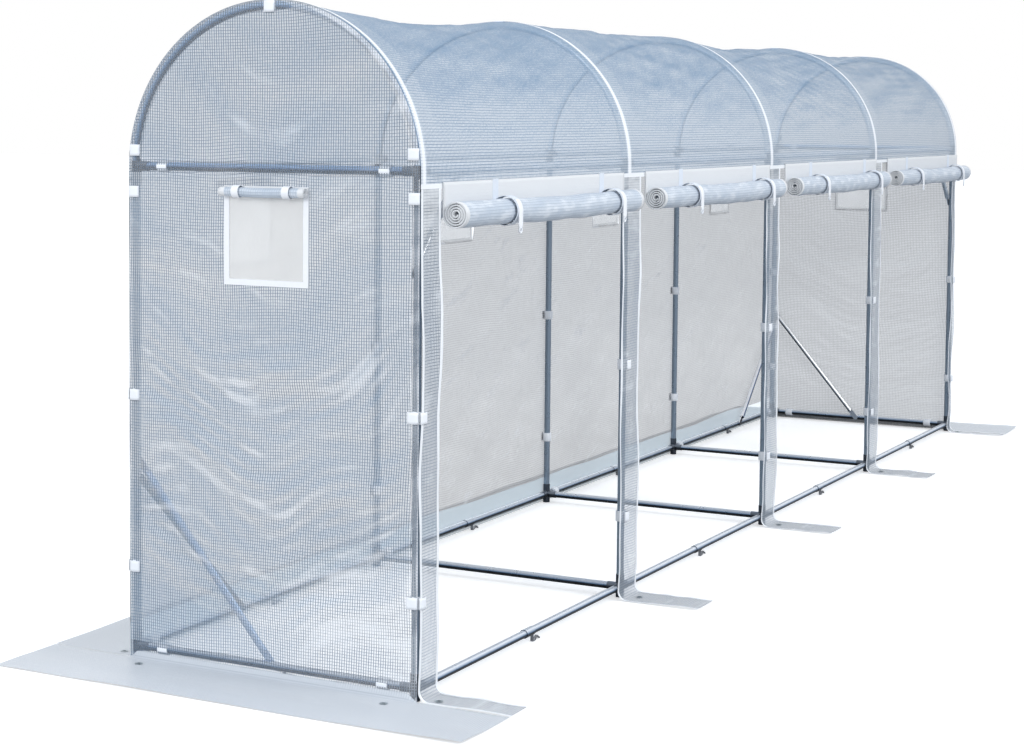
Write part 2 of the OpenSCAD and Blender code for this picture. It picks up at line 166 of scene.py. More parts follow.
def make_piece(name, patches, finish, replaced=(), thickness=0.0):
    """One object from one or more patches: the points that the kept cells use go into the mesh,
    with a cloth UV map and the attributes lit, edge and fold."""
    quads, base = [], 0
    for p in patches:
        shape = p["points"].shape[:2]
        quads.append(cells(shape, p["keep"], p["flip"]) + base)
        base += shape[0] * shape[1]
    quads = np.concatenate(quads)
    used, corners = np.unique(quads, return_inverse=True)
    corners = corners.reshape(quads.shape)

    def gathered(key, size):
        return np.concatenate([p[key].reshape(-1, size) for p in patches])[used]

    mesh = bpy.data.meshes.new(name)
    mesh.from_pydata(gathered("points", 3).tolist(), [], corners.tolist())
    uv = gathered("cloth", 2)[corners.ravel()]
    mesh.uv_layers.new(name="cloth").data.foreach_set("uv", uv.astype(np.float32).ravel())
    for key in ("lit", "edge", "fold"):
        values = gathered(key, 1).astype(np.float32).ravel()
        mesh.attributes.new(key, "FLOAT", "POINT").data.foreach_set("value", values)
    mesh.polygons.foreach_set("use_smooth", np.ones(len(mesh.polygons), bool))
    mesh.materials.append(finish)
    piece = bpy.data.objects.new(name, mesh)
    bpy.context.scene.collection.objects.link(piece)
    if thickness:
        wall = piece.modifiers.new("thickness", "SOLIDIFY")
        wall.thickness = thickness
        wall.offset = 0
    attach(piece, "root")
    if replaced:
        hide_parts(*replaced)
    print(name, len(mesh.polygons), "faces")
    return piece


def slope_light(offset, across, gain):
    """Light on a fold: one half plus gain times the slope of the offset along the first grid
    direction, whose coordinates are given, kept from 0 to 1."""
    return np.clip(0.5 + gain * np.gradient(offset, across, axis=0), 0, 1)


# %% [markdown]
# ## Tools for finishes
# A material is a small graph of nodes. Two helpers keep the graphs readable: one makes a node and
# fills its sockets from numbers or from other sockets, the other does the same for arithmetic.

# %% Node tools
def new_finish(name):
    """An empty material: its node tree and its one Principled shader."""
    material = bpy.data.materials.new(name)
    material.use_nodes = True
    tree = material.node_tree
    return material, tree, tree.nodes["Principled BSDF"]


def put(tree, target, value):
    """Fills a socket with a number or colour, or links another socket to it."""
    if isinstance(value, bpy.types.NodeSocket):
        tree.links.new(value, target)
    else:
        target.default_value = value


def node(tree, kind, inputs=None, **settings):
    """A node of one kind with its settings and inputs."""
    made = tree.nodes.new(kind)
    for key, value in settings.items():
        setattr(made, key, value)
    for key, value in (inputs or {}).items():
        put(tree, made.inputs[key], value)
    return made


def maths(tree, operation, a, b=0.0, c=None):
    """The result of one arithmetic step, kept from 0 to 1 for MULTIPLY_ADD."""
    made = node(tree, "ShaderNodeMath", {0: a, 1: b}, operation=operation)
    if c is not None:
        put(tree, made.inputs[2], c)
        made.use_clamp = True
    return made.outputs[0]


def blend(tree, share, a, b):
    """Colour a where share is 0, b where it is 1."""
    made = node(tree, "ShaderNodeMix", data_type="RGBA")
    for socket, value in zip((made.inputs[0], made.inputs[6], made.inputs[7]), (share, a, b)):
        put(tree, socket, value)
    return made.outputs[2]


def mixed(tree, share, a, b):
    """Number a where share is 0, b where it is 1."""
    made = node(tree, "ShaderNodeMix", data_type="FLOAT")
    for socket, value in zip((made.inputs[0], made.inputs[2], made.inputs[3]), (share, a, b)):
        put(tree, socket, value)
    return made.outputs[0]


def noise(tree, vector, scale, detail=3.0):
    """Noise from 0 to 1 over a vector."""
    inputs = {"Vector": vector, "Scale": scale, "Detail": detail}
    return node(tree, "ShaderNodeTexNoise", inputs).outputs["Fac"]


def colour(red, green, blue):
    """A colour with full opacity."""
    return (red, green, blue, 1.0)


# %% [markdown]
# ## Film with a woven grid
# The cover is clear film with threads laid in it both ways, about 9 mm apart. Modelling a million
# threads is out of the question, and a picture would be against the rules of the lesson. The
# cloth coordinates are in metres, so two triangle waves find the threads: where a wave is lower
# than half a thread's width there is thread, elsewhere there is nearly clear film.
# The film is see-through by Alpha. Slopes that catch the light are painted whiter and denser. It is
# one film all over the tunnel, but each sheet has its own painted tones of light and shade,
# because each hangs in other light.

# %% Film finish
WARP_PITCH, WEFT_PITCH = 0.0081, 0.0090
TOUCH_CLEAR = 0.2


def thread(tree, coordinate, pitch, width):
    """1 within half a width of every multiple of the pitch, by a triangle wave of the coordinate."""
    wave = maths(tree, "PINGPONG", maths(tree, "MULTIPLY", coordinate, 1 / pitch), 0.5)
    return maths(tree, "LESS_THAN", wave, width / pitch / 2)


def film_finish(name, dark, pale, threads, clear, dense, warp=0.0021, weft=0.0020, cloud=0.6, glint=0.3,
                fine=6.0, draw=4.0, grain=0.7, touch=0.0, hem=0.0, hem_alpha=0.97,
                hem_tint=colour(0.93, 0.95, 0.97)):
    """Film between threads has the opacity clear, threads have the opacity dense. The colour runs
    from dark to pale with the painted light on the slope, a cloudy noise and a painted sparkle that
    changes from mesh to mesh, and it is nearer to that of the threads where they lie. Painted glints
    make wrinkles whiter and denser, where a noise that is drawn out along the folds is high, and so
    does a slope whose painted light is over 1.
    Within the hem's width of an edge the film is tape, and within touch of a tube it is clearer."""
    material, tree, shader = new_finish(name)
    cloth = node(tree, "ShaderNodeUVMap", uv_map="cloth").outputs[0]
    parts = node(tree, "ShaderNodeSeparateXYZ", {0: cloth}).outputs
    lit = node(tree, "ShaderNodeAttribute", attribute_name="lit").outputs["Fac"]
    fold = node(tree, "ShaderNodeAttribute", attribute_name="fold").outputs["Fac"]
    drawn = node(tree, "ShaderNodeCombineXYZ",
                 {0: parts[0], 1: maths(tree, "MULTIPLY", fold, draw)}).outputs[0]
    clouds = maths(tree, "SUBTRACT", noise(tree, drawn, 2.5, 4.0), 0.5)
    # Painted sparkle: a random lighter or darker tone for each cell of the weave, for the light each
    # catches.
    sparkle = maths(tree, "SUBTRACT", noise(tree, cloth, 0.9 / WARP_PITCH, 1.0), 0.5)
    shade = maths(tree, "MULTIPLY_ADD", sparkle, grain, maths(tree, "MULTIPLY_ADD", clouds, cloud, lit))
    # The wrinkles' noise gives both their bumps and their painted glints.
    wrinkle_and_glint = maths(tree, "MULTIPLY", noise(tree, drawn, fine, 4.0), maths(tree, "ADD", lit, 0.5))
    shine = node(tree, "ShaderNodeMapRange", {"Value": wrinkle_and_glint, "From Min": 0.55, "From Max": 0.9,
                                              "To Max": glint}, interpolation_type="SMOOTHSTEP").outputs[0]
    # Painted highlight: glints on the wrinkles, and slopes whose painted light is over 1, make the film
    # whiter and denser.
    painted_highlight = maths(tree, "MAXIMUM", shine, maths(tree, "MULTIPLY_ADD", lit, 1.0, -1.0))
    across = thread(tree, parts[0], WARP_PITCH, warp)
    along = thread(tree, parts[1], WEFT_PITCH, weft)
    grid = maths(tree, "MAXIMUM", across, along)
    edge = node(tree, "ShaderNodeAttribute", attribute_name="edge").outputs["Fac"]
    veil = maths(tree, "MULTIPLY_ADD", painted_highlight, 0.6, clear)
    if touch:
        veil = mixed(tree, maths(tree, "LESS_THAN", edge, touch), veil, TOUCH_CLEAR)
    alpha = mixed(tree, grid, veil, dense)
    tint = blend(tree, shade, dark, pale)
    tint = blend(tree, maths(tree, "MULTIPLY", grid, 0.85), tint, threads)
    tint = blend(tree, painted_highlight, tint, colour(0.93, 0.95, 0.98))
    if hem:
        tape = maths(tree, "LESS_THAN", edge, hem)
        alpha = mixed(tree, tape, alpha, hem_alpha)
        tint = blend(tree, tape, tint, hem_tint)
    put(tree, shader.inputs["Base Color"], tint)
    put(tree, shader.inputs["Alpha"], alpha)
    shader.inputs["Roughness"].default_value = 0.42
    height = maths(tree, "ADD", grid, maths(tree, "MULTIPLY", wrinkle_and_glint, 4.0))
    bump = node(tree, "ShaderNodeBump", {"Strength": 0.35, "Distance": 0.0006, "Height": height})
    put(tree, shader.inputs["Normal"], bump.outputs[0])
    return material


roof_film = film_finish("roof film", colour(0.20, 0.38, 0.58), colour(0.86, 0.93, 0.99),
                        colour(0.05, 0.13, 0.25), 0.56, 0.88, cloud=0.25, glint=0.0, grain=1.0, hem=0.014)
gable_film = film_finish("gable film", colour(0.62, 0.72, 0.83), colour(0.99, 0.99, 0.99),
                         colour(0.03, 0.07, 0.13), 0.56, 0.90, warp=0.0025, weft=0.0014,
                         cloud=1.5, glint=0.4, fine=4.5, draw=2.2, grain=1.0, touch=0.019)
far_film = film_finish("far gable film", colour(0.42, 0.42, 0.42), colour(0.58, 0.58, 0.58),
                       colour(0.10, 0.10, 0.10), 0.56, 0.78, cloud=0.3, glint=0.1)
wall_film = film_finish("wall film", colour(0.46, 0.445, 0.43), colour(0.66, 0.645, 0.63),
                        colour(0.20, 0.19, 0.18), 0.60, 0.74, cloud=0.6, glint=0.45,
                        hem=0.108, hem_alpha=0.34, hem_tint=colour(0.74, 0.93, 1.0))
strip_film = film_finish("strip film", colour(0.54, 0.63, 0.74), colour(0.94, 0.97, 0.99),
                         colour(0.02, 0.05, 0.10), 0.42, 0.90, hem=0.013)
skirt_film = film_finish("skirt film", colour(0.62, 0.66, 0.71), colour(0.82, 0.84, 0.86),
                         colour(0.40, 0.44, 0.49), 0.92, 0.97, warp=0.0016, weft=0.0016, glint=0.1)
roll_film = film_finish("rolled film", colour(0.52, 0.60, 0.70), colour(0.71, 0.76, 0.82),
                        colour(0.38, 0.44, 0.52), 0.95, 0.98, warp=0.0014, weft=0.0020, cloud=0.4,
                        fine=14.0, hem=0.020, hem_alpha=0.88, hem_tint=colour(0.87, 0.88, 0.89))
print("film with threads every", WARP_PITCH * 1000, "by", WEFT_PITCH * 1000, "mm")

# %% [markdown]
# ## Steel, tape, mesh and plastic
# The tubes are galvanised: a pale blue-grey metal with a cloudy bloom. Their light and shade are
# painted into the colour: seen against the light their undersides are almost black, because they
# face the ground inside the frame, so a painted shade darkens the colour where the surface looks
# down, and a painted highlight lightens it where it faces the light. The tape has a fine rib, the
# window mesh a fine square weave, and the clips are plain white plastic with a slight mottle.

# %% Steel finish
def steel_with_painted_shade(name, under, middle, bright, stops, roughness=0.2, hoop=False, metal=0.75):
    """Painted shade and painted highlight: the colour runs from under to middle to bright at three
    stops as the surface turns from the shaded side to the light, and a cloudy bloom changes it and
    the roughness a little. The painted light comes from above, or from outside the arch where the
    tube is a hoop. Less metal makes the tube less of a mirror, for one that only faces dark things."""
    material, tree, shader = new_finish(name)
    place = node(tree, "ShaderNodeTexCoord").outputs["Object"]
    normal = node(tree, "ShaderNodeNewGeometry").outputs["Normal"]
    facing = node(tree, "ShaderNodeSeparateXYZ", {0: normal}).outputs[2]
    if hoop:
        spoke = node(tree, "ShaderNodeMapping", {"Vector": place, "Location": (0, 0, -spring_z),
                                                 "Scale": (0, 1, 1)}).outputs[0]
        spoke = node(tree, "ShaderNodeVectorMath", {0: spoke}, operation="NORMALIZE").outputs[0]
        facing = node(tree, "ShaderNodeVectorMath", {0: spoke, 1: normal},
                      operation="DOT_PRODUCT").outputs["Value"]
    # Painted shade and highlight: the tone is set by the way the surface faces the light.
    ramp = node(tree, "ShaderNodeValToRGB", {0: maths(tree, "MULTIPLY_ADD", facing, 0.5, 0.5)})
    ramp.color_ramp.elements.new(stops[1])
    for element, stop, tone in zip(ramp.color_ramp.elements, stops, (under, middle, bright)):
        element.position = stop
        element.color = tone
    bloom = noise(tree, place, 38.0)
    tint = blend(tree, maths(tree, "MULTIPLY", bloom, 0.1), ramp.outputs[0], colour(0.50, 0.56, 0.64))
    put(tree, shader.inputs["Base Color"], tint)
    put(tree, shader.inputs["Roughness"], maths(tree, "MULTIPLY_ADD", bloom, 0.2, roughness))
    shader.inputs["Metallic"].default_value = metal
    bump = node(tree, "ShaderNodeBump", {"Strength": 0.15, "Distance": 0.0004, "Height": bloom})
    put(tree, shader.inputs["Normal"], bump.outputs[0])
    return material


# Each group of tubes gets its own painted shade and highlight tones for the light it stands in.
post_steel = steel_with_painted_shade("galvanised post", colour(0.01, 0.013, 0.02), colour(0.19, 0.26, 0.34),
                          colour(0.62, 0.69, 0.78), (0.20, 0.45, 0.85))
ground_steel = steel_with_painted_shade("galvanised ground tube", colour(0.001, 0.002, 0.004),
                            colour(0.10, 0.20, 0.36), colour(0.86, 0.92, 1.0), (0.48, 0.57, 0.88))
brace_steel = steel_with_painted_shade("galvanised brace", colour(0.01, 0.014, 0.02), colour(0.30, 0.36, 0.44),
                           colour(0.96, 0.97, 0.98), (0.36, 0.48, 0.66))
wall_brace_steel = steel_with_painted_shade("galvanised wall brace", colour(0.002, 0.005, 0.015),
                                colour(0.06, 0.13, 0.32), colour(0.99, 0.99, 1.0), (0.50, 0.68, 0.79),
                                metal=0.1)
prop_steel = steel_with_painted_shade("galvanised gable brace", colour(0.01, 0.02, 0.04), colour(0.08, 0.20, 0.46),
                          colour(0.44, 0.64, 0.98), (0.20, 0.32, 0.80))
bar_steel = steel_with_painted_shade("galvanised gable bar", colour(0.002, 0.004, 0.008), colour(0.04, 0.11, 0.28),
                         colour(0.40, 0.62, 0.95), (0.40, 0.50, 0.80))
end_hoop_steel = steel_with_painted_shade("galvanised end hoop", colour(0.01, 0.02, 0.04), colour(0.10, 0.24, 0.48),
                              colour(0.60, 0.78, 0.98), (0.20, 0.38, 0.85), hoop=True)
hoop_steel = steel_with_painted_shade("galvanised hoop", colour(0.03, 0.05, 0.08), colour(0.38, 0.52, 0.68),
                          colour(0.90, 0.94, 0.98), (0.05, 0.20, 0.75), hoop=True)
eaves_steel = steel_with_painted_shade("galvanised eaves tube", colour(0.20, 0.26, 0.34), colour(0.66, 0.74, 0.82),
                           colour(0.95, 0.96, 0.98), (0.10, 0.26, 0.60))
fitting_steel = steel_with_painted_shade("fitting steel", colour(0.004, 0.005, 0.008), colour(0.04, 0.05, 0.07),
                             colour(0.30, 0.34, 0.40), (0.25, 0.55, 0.95), 0.25)
hook_steel = steel_with_painted_shade("hook steel", colour(0.04, 0.04, 0.05), colour(0.28, 0.29, 0.32),
                          colour(0.62, 0.63, 0.66), (0.20, 0.45, 0.85), 0.35)
eyelet_metal = steel_with_painted_shade("eyelet metal", colour(0.08, 0.09, 0.10), colour(0.34, 0.39, 0.42),
                            colour(0.44, 0.50, 0.53), (0.20, 0.45, 0.85), 0.3)


# %% Tape, mesh and plastic finishes
def tape_finish(name, pale, rib, backlit=False):
    """White tape: fine ribs by a wave of the place, over a mottled white. Backlit tape is
    see-through behind the near gable, where daylight comes through it."""
    material, tree, shader = new_finish(name)
    place = node(tree, "ShaderNodeTexCoord").outputs["Object"]
    ribs = node(tree, "ShaderNodeTexWave", {"Vector": place, "Scale": rib, "Distortion": 0.6},
                bands_direction="DIAGONAL").outputs["Fac"]
    mottle = noise(tree, place, 60.0)
    put(tree, shader.inputs["Base Color"],
        blend(tree, maths(tree, "MULTIPLY", mottle, 0.5), pale, colour(0.80, 0.83, 0.88)))
    shader.inputs["Roughness"].default_value = 0.55
    if backlit:
        x = node(tree, "ShaderNodeSeparateXYZ", {0: place}).outputs[0]
        near = maths(tree, "LESS_THAN", x, -half_l)
        put(tree, shader.inputs["Alpha"], mixed(tree, near, 0.3, 1.0))
    bump = node(tree, "ShaderNodeBump", {"Strength": 0.25, "Distance": 0.0003, "Height": ribs})
    put(tree, shader.inputs["Normal"], bump.outputs[0])
    return material


def mesh_finish(name, pitch, width):
    """Fine window mesh: threads both ways by triangle waves of the place, see-through between."""
    material, tree, shader = new_finish(name)
    place = node(tree, "ShaderNodeTexCoord").outputs["Object"]
    parts = node(tree, "ShaderNodeSeparateXYZ", {0: place}).outputs
    level = maths(tree, "ADD", parts[0], parts[1])
    grid = maths(tree, "MAXIMUM", thread(tree, level, pitch, width), thread(tree, parts[2], pitch, width))
    cloud = noise(tree, place, 9.0)
    put(tree, shader.inputs["Base Color"],
        blend(tree, cloud, colour(0.84, 0.83, 0.81), colour(0.93, 0.92, 0.90)))
    put(tree, shader.inputs["Alpha"], mixed(tree, grid, 0.18, 0.66))
    shader.inputs["Roughness"].default_value = 0.7
    return material


white_tape = tape_finish("white tape", colour(0.94, 0.95, 0.97), 900.0)
strap_tape = tape_finish("strap tape", colour(0.72, 0.77, 0.84), 900.0)
hem_tape = tape_finish("hem tape", colour(0.95, 0.96, 0.98), 900.0, backlit=True)
clip_plastic = tape_finish("clip plastic", colour(0.93, 0.95, 0.98), 30.0)
window_mesh = mesh_finish("window mesh", 0.0028, 0.0011)
print("steel, tape, mesh and plastic made")

# %% [markdown]
# ## Finishes on the CAD nodes
# The tubes, fittings, hooks, eyelets, straps, hems and screens have the right shape already, so
# they only get a material. The film nodes are left for the pieces below, which replace them.

# %% Assign the finishes
def dress(names, finish):
    """Puts one material on CAD nodes."""
    for name in names:
        nodes[name].data.materials.clear()
        nodes[name].data.materials.append(finish)


record_slots = {s["node"]: s["material_slot"] for s in frame["record"]["subparts"]}
slot_finishes = {
    "frame_steel": post_steel, "fitting_steel": fitting_steel, "hook_steel": hook_steel,
    "eyelet_metal": eyelet_metal, "white_tape": white_tape, "insect_mesh": window_mesh,
}
for slot, finish in slot_finishes.items():
    dress([n for n in nodes if record_slots[n] == slot], finish)
dress([n for n in nodes if n.endswith("_arch")], hoop_steel)
dress([n for n in nodes if n.endswith("_purlin") or n == "knee_braces"], eaves_steel)
dress([n for n in nodes if n.endswith("_gable_bar")], bar_steel)
dress(["window_hems"], hem_tape)
dress(["near_gable_brace"], prop_steel)
dress(["near_gable_arch"], end_hoop_steel)
dress(["far_gable_brace"], brace_steel)
dress(["back_wall_braces"], wall_brace_steel)
dress(["curtain_straps"], strap_tape)
dress(["front_ground_rail", "back_ground_rail", "ground_cross_bars", "rail_joints"], ground_steel)
print({slot: sum(record_slots[n] == slot for n in nodes) for slot in slot_finishes})

# %% [markdown]
# ## Roof film
# The film over one bay is stretched between two hoops and sags between them, most at the ridge.
# A plain half cylinder would look like sheet metal. So the radius over the hoops shrinks along
# the bay by a parabola, with its own sag in each bay, and low ripples that run from hoop to hoop
# are added to it. Where the film is pulled tight over a hoop a painted highlight runs along the
# open side.

# %% Roof
ROOF_SAGS = (0.038, 0.012, 0.030, 0.020)
RIPPLE = 0.0045
GLARE = 0.011
hem_drop = spring_z - hem_z


def roof_patch(i):
    """Film over bay i: at distance s over the arch and share t along the bay, the radius is that
    at the hoops, less four times the sag times t times (1 - t) times the sine of the arch angle,
    plus ripples that die out at the hoops. Below the springing the film hangs straight."""
    tight = np.array([0.005, 0.010, 0.015, 0.020, 0.030])
    along = with_lines(bay * np.linspace(0, 1, 61), np.concatenate([tight, bay - tight]))
    ends = [-1] * (i == 0) + [1] * (i == BAYS - 1)
    along = with_lines(along, [(bay if e > 0 else 0) + e * (film_x - half_l) for e in ends])
    s, u = np.meshgrid(np.linspace(0, 2 * hem_drop + np.pi * film_y, 161), along, indexing="ij")
    angle = np.clip((s - hem_drop) / film_y, 0, np.pi)
    hang = np.clip(hem_drop - s, 0, None) + np.clip(s - hem_drop - np.pi * film_y, 0, None)
    t = np.clip(u / bay, 0, 1)
    pull = 4 * t * (1 - t) * np.sin(angle)
    wave = RIPPLE * ripples(0.22 * u, s, 0.16, 11 + i) + 0.4 * RIPPLE * ripples(0.5 * u, s, 0.07, 31 + i)
    offset = pull ** 0.7 * wave
    radius = film_y - ROOF_SAGS[i] * pull + offset
    # Painted light: glare is a painted highlight along each hoop on the open side, and eaves is painted
    # light, darker at the ridge and paler towards the eaves.
    glare = 2 * np.exp(-((np.minimum(u, bay - u) / GLARE) ** 2)) * smooth((1.9 - angle) / 0.8)
    eaves = 1.3 * np.abs(2 * angle / np.pi - 1) ** 2 - 0.46
    band = 0.2 * smooth((STRIP_AFTER - u) / 0.004)
    lit = np.clip(slope_light(offset, s[:, 0], 2.2) + band + eaves, 0, 1) + glare
    edge = np.minimum(s, s[-1] - s)
    return patch(hoops[i] + u, -radius * np.cos(angle), spring_z + radius * np.sin(angle) - hang,
                 (u, s), np.clip(lit, 0, 2), edge, flip=True)


for i in range(BAYS):
    piece = make_piece(f"roof_film_{i + 1}", [roof_patch(i)], roof_film,
                       [f"roof_cover_{i + 1}"])

# %% [markdown]
# ## Gable film
# Each gable is one sheet with an arched top and a window. It is held by clips at its edges and is
# slack between them, so it hangs in swags: folds whose lines are soft Vs from clip to clip. Where
# it lies on a bar, a post or the arch it hides the tube less, so its edge attribute holds the
# distance from those tubes. The grid has straight lines up to the springing, so the window is a
# block of cells left out.

# %% Gables
window_low, window_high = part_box("window_screens")
WINDOW_GAP = 0.0003
window_bottom, window_top = window_low.z - WINDOW_GAP, window_high.z + WINDOW_GAP
hem_low, hem_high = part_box("window_hems")
gable_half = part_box("near_gable_cover")[1].y
window_w = window_top - window_bottom
bar_low, bar_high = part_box("near_gable_bar")
bar_z = (bar_low.z + bar_high.z) / 2
foot_low, foot_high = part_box("ground_cross_bars")
foot_bar_z = (foot_low.z + foot_high.z) / 2
window_mid = 0.009


def gable_folds(y, z):
    """Coordinate across the folds of a slack gable: the height less a share of the distance from a
    line near the middle, rounded there, so that its level lines are Vs that hang from the clips."""
    return z - 0.42 * np.hypot(y + 0.05, 0.05) + 0.03 * ripples(y, z, 0.45, 7)


def gable_slack(y, z):
    """Offset of a slack gable: ripples of the fold coordinate, drawn out along the folds, that fade
    out at the edges and the ground and are low above the clips."""
    across = gable_folds(y, z)
    t = (y / gable_half + 1) / 2
    held = smooth(4 * t * (1 - t) / 0.35) * smooth((z - 0.05) / 0.25) * smooth((1.45 - z) / 0.2)
    held = held * (0.35 + 0.65 * smooth((1.10 - z) / 0.25))
    wave = 0.006 * ripples(0.3 * y, across, 0.22, 5) + 0.0012 * ripples(0.5 * y, across, 0.07, 6)
    return np.clip(held * wave, -0.012, 0.012)


def tube_distance(y, z):
    """Distance of a gable point from a tube that the film is pulled against: two bars at their
    heights, the front post, and the back half of the arch about the springing."""
    post = np.abs(y + half_w) + 0.009
    arch = np.abs(np.hypot(y, z - spring_z) - half_w) + 0.1 * smooth(-y / 0.3)
    upright = np.where(z < spring_z, post, arch)
    return np.minimum.reduce([np.abs(z - bar_z), np.abs(z - foot_bar_z), upright])


def gable_patch(end):
    """Gable sheet: y is a share p of the half width at height z, which is constant up to the
    springing and then the root of the radius squared less the rise squared."""
    window_p = (window_mid + np.array([-1, 1]) * window_w / 2) / gable_half
    share = with_lines(np.linspace(-1, 1, 121), window_p)
    straight = with_lines(np.linspace(FILM, spring_z, 191), [window_bottom, window_top])
    rise = gable_half * np.sin(np.linspace(0, np.pi / 2, 40)[1:])
    z, p = np.meshgrid(np.concatenate([straight, spring_z + rise]), share, indexing="ij")
    width = np.sqrt(np.clip(gable_half ** 2 - np.clip(z - spring_z, 0, None) ** 2, 0, None))
    y = p * width
    slack = gable_slack(y, z)
    hole = (window_bottom, window_p[0], window_top, window_p[1])
    cloth = (y + 0.004 * ripples(y, z, 0.5, 8), z + 0.005 * ripples(y, z, 0.4, 9))
    # Painted light on the gable: seam is no seam but a painted highlight along the edge on the minus y
    # side, foot a painted shade low on the sheet towards plus y, and bright a painted light low on the
    # sheet towards minus y.
    seam = 0.4 * smooth((np.abs(y) - width + 0.034) / 0.012) * smooth((0.1 - y) / 0.2)
    foot = 0.6 * smooth((0.5 - z) / 0.5) * smooth((y + 0.3) / 0.8)
    bright = 0.35 * smooth((0.45 - z) / 0.3) * smooth((0.2 - y) / 0.5)
    lit = slope_light(slack, z[:, 0], 2.5) + seam - foot + bright
    return patch(end * (film_x + slack), y, z, cloth, np.clip(lit, 0, 1), tube_distance(y, z),
                 gable_folds(y, z), outside(z, p, [hole]), end > 0)


for end, word, finish in ((-1, "near", gable_film), (1, "far", far_film)):
    piece = make_piece(f"{word}_gable_film", [gable_patch(end)], finish,
                       [f"{word}_gable_cover"])

# %% [markdown]
# ## Back wall film
# One sheet runs along the whole back, with four windows. Between the posts it hangs in shallow
# slanted folds. It is one grid with lines along every window, and the ripples are kept off the
# posts and the rail, because the film lies against them there. Along its foot runs a clearer,
# pale blue band. It is made as a see-through hem, whose edge attribute is the height.

# %% Back wall
WINDOW_PAST_HOOP = 0.65
back_window_x = hoops[:BAYS] + WINDOW_PAST_HOOP


def wall_slack(x, z):
    """Offset of the back film: ripples along two slants, zero at the posts, the rail and the hem."""
    t = np.mod(x - hoops[0], bay) / bay
    held = smooth(4 * t * (1 - t) / 0.3) * smooth((z - 0.06) / 0.15) * smooth((hem_z - z) / 0.2)
    slant = 0.005 * ripples(0.5 * x + 0.4 * z, z - 0.3 * x, 0.30, 21)
    return held * np.clip(slant + 0.002 * ripples(x, z, 0.11, 22), -0.009, 0.012)


def wall_patch():
    """Back sheet: straight up from the ground to the roof's hem, moved out by its slack."""
    sides = np.concatenate([back_window_x - window_w / 2, back_window_x + window_w / 2])
    along = with_lines(np.linspace(-film_x, film_x, 321), sides)
    up = with_lines(np.linspace(FILM, hem_z - HEM_GAP, 91), [window_bottom, window_top])
    z, x = np.meshgrid(up, along, indexing="ij")
    slack = wall_slack(x, z)
    holes = [(window_bottom, m - window_w / 2, window_top, m + window_w / 2) for m in back_window_x]
    cloth = (x + 0.004 * ripples(x, z, 0.6, 23), z + 0.004 * ripples(x, z, 0.5, 24))
    # The last term is painted light: the film is paler towards the near end and darker towards the far
    # end.
    lit = slope_light(slack, up, 1.5) - 0.12 * x / half_l
    return patch(x, film_y + slack, z, cloth, lit, z + 0.005 * ripples(x, 0 * x, 0.7, 25), z - 0.3 * x,
                 keep=outside(z, x, holes), flip=True)


back_film = make_piece("back_wall_film", [wall_patch()], wall_film, ["back_wall_cover"])

# %% [markdown]
# ## Front strips
# At each hoop a narrow strip of film hangs down the post, turns outwards at the ground in a soft
# bend and runs on as a flap with an eyelet. Both edges are hemmed with white tape. The strip is a
# profile, down, round and out, carried along the tunnel, with a hole under each eyelet.

# %% Strips
BEND = 0.030
LIE = 0.0015
EYELET_HOLE = 0.0092
front_eyelets = [m["pos_m"] for m in frame["record"]["mounts"] if m["name"].startswith("front_eyelet")]
back_eyelets = [m["pos_m"] for m in frame["record"]["mounts"] if m["name"].startswith("back_eyelet")]
near_eyelets = [m["pos_m"] for m in frame["record"]["mounts"] if m["name"].startswith("near_gable")]


def square(a, b):
    """Hole for an eyelet at (a, b), hidden by its flange."""
    return (a - EYELET_HOLE, b - EYELET_HOLE, a + EYELET_HOLE, b + EYELET_HOLE)


def strip_patch(i):
    """Strip at hoop i: with s the distance down the profile, it falls straight to the bend, turns
    a quarter circle and runs out level. Ripples move it out from the post and up from the ground."""
    left = hoops[i] - STRIP_BEFORE if i else -film_x + EDGE_GAP
    right = hoops[i] + STRIP_AFTER if i < BAYS else film_x - EDGE_GAP
    eye_x, eye_y = front_eyelets[i][:2]
    fall = hem_z - HEM_GAP - BEND - LIE
    turn = BEND * np.pi / 2
    reach = skirt_y - film_y - BEND
    eye_s = fall + turn + (-eye_y - film_y - BEND)
    down = np.concatenate([np.linspace(0, fall, 90), fall + np.linspace(0, turn, 9)[1:],
                           fall + turn + np.linspace(0, reach, 40)[1:]])
    down = with_lines(down, [eye_s - EYELET_HOLE, eye_s + EYELET_HOLE])
    along = with_lines(np.linspace(left, right, 25), [eye_x - EYELET_HOLE, eye_x + EYELET_HOLE])
    s, x = np.meshgrid(down, along, indexing="ij")
    a = np.clip((s - fall) / BEND, 0, np.pi / 2)
    out = BEND * (1 - np.cos(a)) + np.clip(s - fall - turn, 0, None)
    up = LIE + BEND * (1 - np.sin(a)) + np.clip(fall - s, 0, None)
    hung = smooth((fall - s) / 0.1) * smooth((s - 0.18) / 0.2)
    laid = smooth((s - eye_s - 0.03) / 0.08)
    wave = ripples(x, 0.35 * s, 0.12, 41 + i)
    out = out + hung * 0.003 * (1.2 + wave).clip(0, 3)
    up = up + laid * 0.0025 * (1 + ripples(0.5 * x, s, 0.16, 51 + i)).clip(0, 3)
    drift = 0.006 * np.sin(5.2 * s + i) * smooth(s / 0.4) * smooth((fall - s) / 0.3)
    edge = np.minimum(x - left, right - x)
    # Painted light: the hanging folds are lighter and darker with their ripples, the laid flap is lighter,
    # and the top of the strip is paler.
    lit = np.clip(0.5 + 0.16 * wave * hung + 0.1 * laid + 0.5 * smooth((0.2 - s) / 0.1), 0, 1)
    return patch(x + drift, -film_y - out, up, (x, s), lit, edge, flip=True,
                 keep=outside(s, x, [square(eye_s, eye_x)]))


strips = make_piece("front_strip_film", [strip_patch(i) for i in range(BAYS + 1)], strip_film,
                    ["front_strips", "strip_ground_flaps"])

